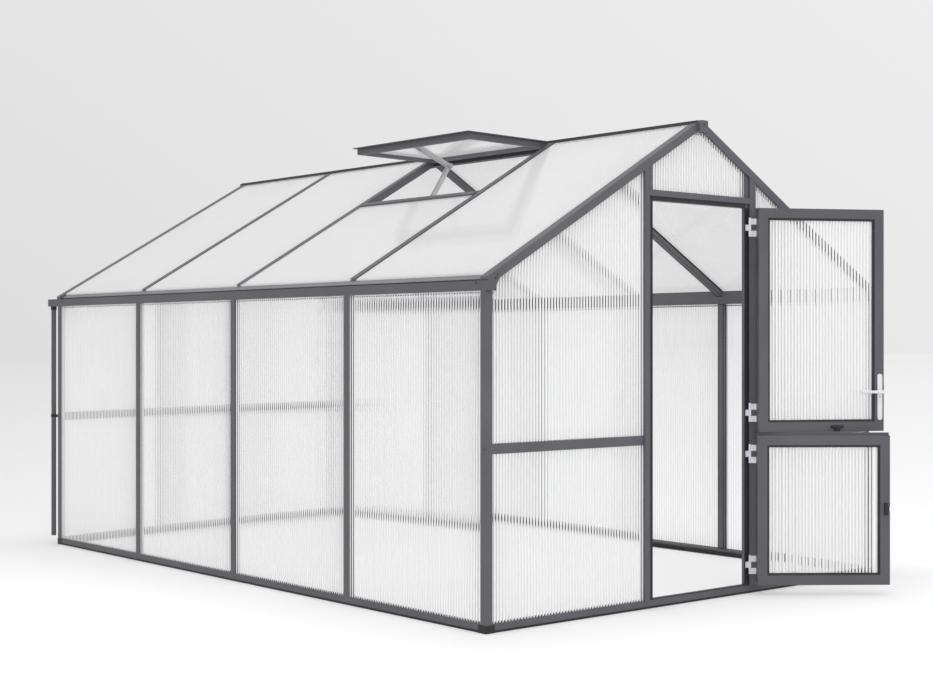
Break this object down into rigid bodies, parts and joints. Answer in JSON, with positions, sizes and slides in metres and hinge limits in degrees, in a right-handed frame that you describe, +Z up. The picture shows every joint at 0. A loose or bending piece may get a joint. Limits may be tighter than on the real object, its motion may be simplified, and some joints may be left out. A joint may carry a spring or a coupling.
{
  "type": "greenhouse",
  "caption": "Gable-roofed garden greenhouse: grey aluminium bar frame glazed with twin-wall sheets, split outward-opening door, self-opening roof vent, eave gutters with downpipes.",
  "frame": {"origin": "On the ground at the centre of the footprint of the base frame, which is the centre of the four ground anchor holes.", "axes": "+X across the gables to the right seen from the doors, +Y along the ridge away from the door gable, +Z up."},
  "size_m": [2.565, 4.3544, 2.1724],
  "materials": {
    "grey_aluminium": "satin powder-coated grey extrusions",
    "glazing": "translucent twin-wall sheet with upright ribs",
    "silver_metal": "plain silver fittings",
    "black_plastic": "moulded black plastic",
    "dark_bead": "soft dark grey glazing bead"
  },
  "bodies": {
    "frame": {"base_corner_caps": "black_plastic", "base_rail_front": "grey_aluminium", "base_rail_left": "grey_aluminium", "base_rail_rear": "grey_aluminium", "base_rail_right": "grey_aluminium", "corner_posts": "grey_aluminium", "door_jambs": "grey_aluminium", "door_lintel": "grey_aluminium", "downpipe_clips": "black_plastic", "downpipe_collars": "black_plastic", "downpipes": "grey_aluminium", "eave_gussets": "grey_aluminium", "eave_strips": "grey_aluminium", "frame_screws": "silver_metal", "front_gable_panels": "glazing", "front_rakes": "grey_aluminium", "gable_mid_rails": "grey_aluminium", "gutter_end_caps": "grey_aluminium", "hinge_jamb_leaves": "silver_metal", "hinge_pins": "silver_metal", "left_gutter": "grey_aluminium", "left_rafters": "grey_aluminium", "left_roof_panels": "glazing", "left_wall_panels": "glazing", "left_wall_studs": "grey_aluminium", "opener_sill_bracket": "silver_metal", "rear_gable_panels": "glazing", "rear_gable_studs": "grey_aluminium", "rear_rakes": "grey_aluminium", "ridge_beam": "grey_aluminium", "ridge_end_caps": "grey_aluminium", "right_gutter": "grey_aluminium", "right_rafters": "grey_aluminium", "right_roof_panels": "glazing", "right_wall_panels": "glazing", "right_wall_studs": "grey_aluminium", "strike_plates": "silver_metal", "vent_sill": "grey_aluminium"},
    "upper_door": {"upper_door_frame": "grey_aluminium", "upper_door_panel": "glazing", "upper_door_bead": "dark_bead", "upper_hinge_leaves": "silver_metal", "handle_plates": "silver_metal", "lock_case": "silver_metal"},
    "door_handle": {"door_handle": "silver_metal"},
    "latch_bolt": {"latch_bolt": "silver_metal"},
    "upper_latch": {"upper_door_latch": "black_plastic"},
    "lower_door": {"lower_door_frame": "grey_aluminium", "lower_door_panel": "glazing", "lower_door_bead": "dark_bead", "lower_hinge_leaves": "silver_metal", "lower_door_top_lip": "grey_aluminium"},
    "lower_latch": {"lower_door_latch": "black_plastic"},
    "vent": {"vent_frame": "grey_aluminium", "vent_panel": "glazing", "opener_leaf_bracket": "silver_metal"},
    "opener_lower_arm": {"opener_lower_arm": "silver_metal", "opener_cylinder": "silver_metal"},
    "opener_piston": {"opener_piston": "silver_metal"},
    "opener_upper_arm": {"opener_upper_arm": "silver_metal"}
  },
  "joints": [
    {"name": "upper_door_hinge", "type": "hinge", "parent": "frame", "child": "upper_door", "pos_m": [0.334, -1.899, 1.27], "axis": [0, 0, 1], "range_deg": [-150, 15]},
    {"name": "handle_turn", "type": "hinge", "parent": "upper_door", "child": "door_handle", "pos_m": [0.85587, -2.2361, 0.936], "axis": [-0.5, -0.866, 0], "range_deg": [0, 40], "stiffness_Nm_per_rad": 3},
    {"name": "latch_bolt_slide", "type": "slide", "parent": "upper_door", "child": "latch_bolt", "axis": [-0.866, 0.5, 0], "range_m": [0, 0.01]},
    {"name": "upper_latch_slide", "type": "slide", "parent": "upper_door", "child": "upper_latch", "axis": [0, 0, -1], "range_m": [0, 0.02]},
    {"name": "lower_door_hinge", "type": "hinge", "parent": "frame", "child": "lower_door", "pos_m": [0.334, -1.899, 0.39], "axis": [0, 0, 1], "range_deg": [-141, 24]},
    {"name": "lower_latch_slide", "type": "slide", "parent": "lower_door", "child": "lower_latch", "axis": [0.7771, -0.6293, 0], "range_m": [0, 0.01]},
    {"name": "vent_hinge", "type": "hinge", "parent": "frame", "child": "vent", "pos_m": [-0.02, -0.47125, 2.14791], "axis": [0, 1, 0], "range_deg": [-31, 0]},
    {"name": "opener_lower_pivot", "type": "hinge", "parent": "frame", "child": "opener_lower_arm", "pos_m": [-0.41523, -0.47125, 1.88047], "axis": [0, 1, 0], "range_deg": [0, 26]},
    {"name": "opener_upper_pivot", "type": "hinge", "parent": "vent", "child": "opener_upper_arm", "pos_m": [-0.49621, -0.47125, 2.14022], "axis": [0, 1, 0], "range_deg": [-26, 0]},
    {"name": "opener_piston_slide", "type": "slide", "parent": "opener_lower_arm", "child": "opener_piston", "axis": [0.5541, 0, 0.8325], "range_m": [-0.0205, 0]}
  ],
  "couplings": [
    {"joint": "latch_bolt_slide", "follows": "handle_turn", "m_per_rad": 0.0143},
    {"joint": "opener_lower_pivot", "follows": "vent_hinge", "ratio": -0.74},
    {"joint": "opener_upper_pivot", "follows": "vent_hinge", "ratio": 0.66},
    {"joint": "opener_piston_slide", "follows": "vent_hinge", "m_per_rad": 0.037}
  ]
}
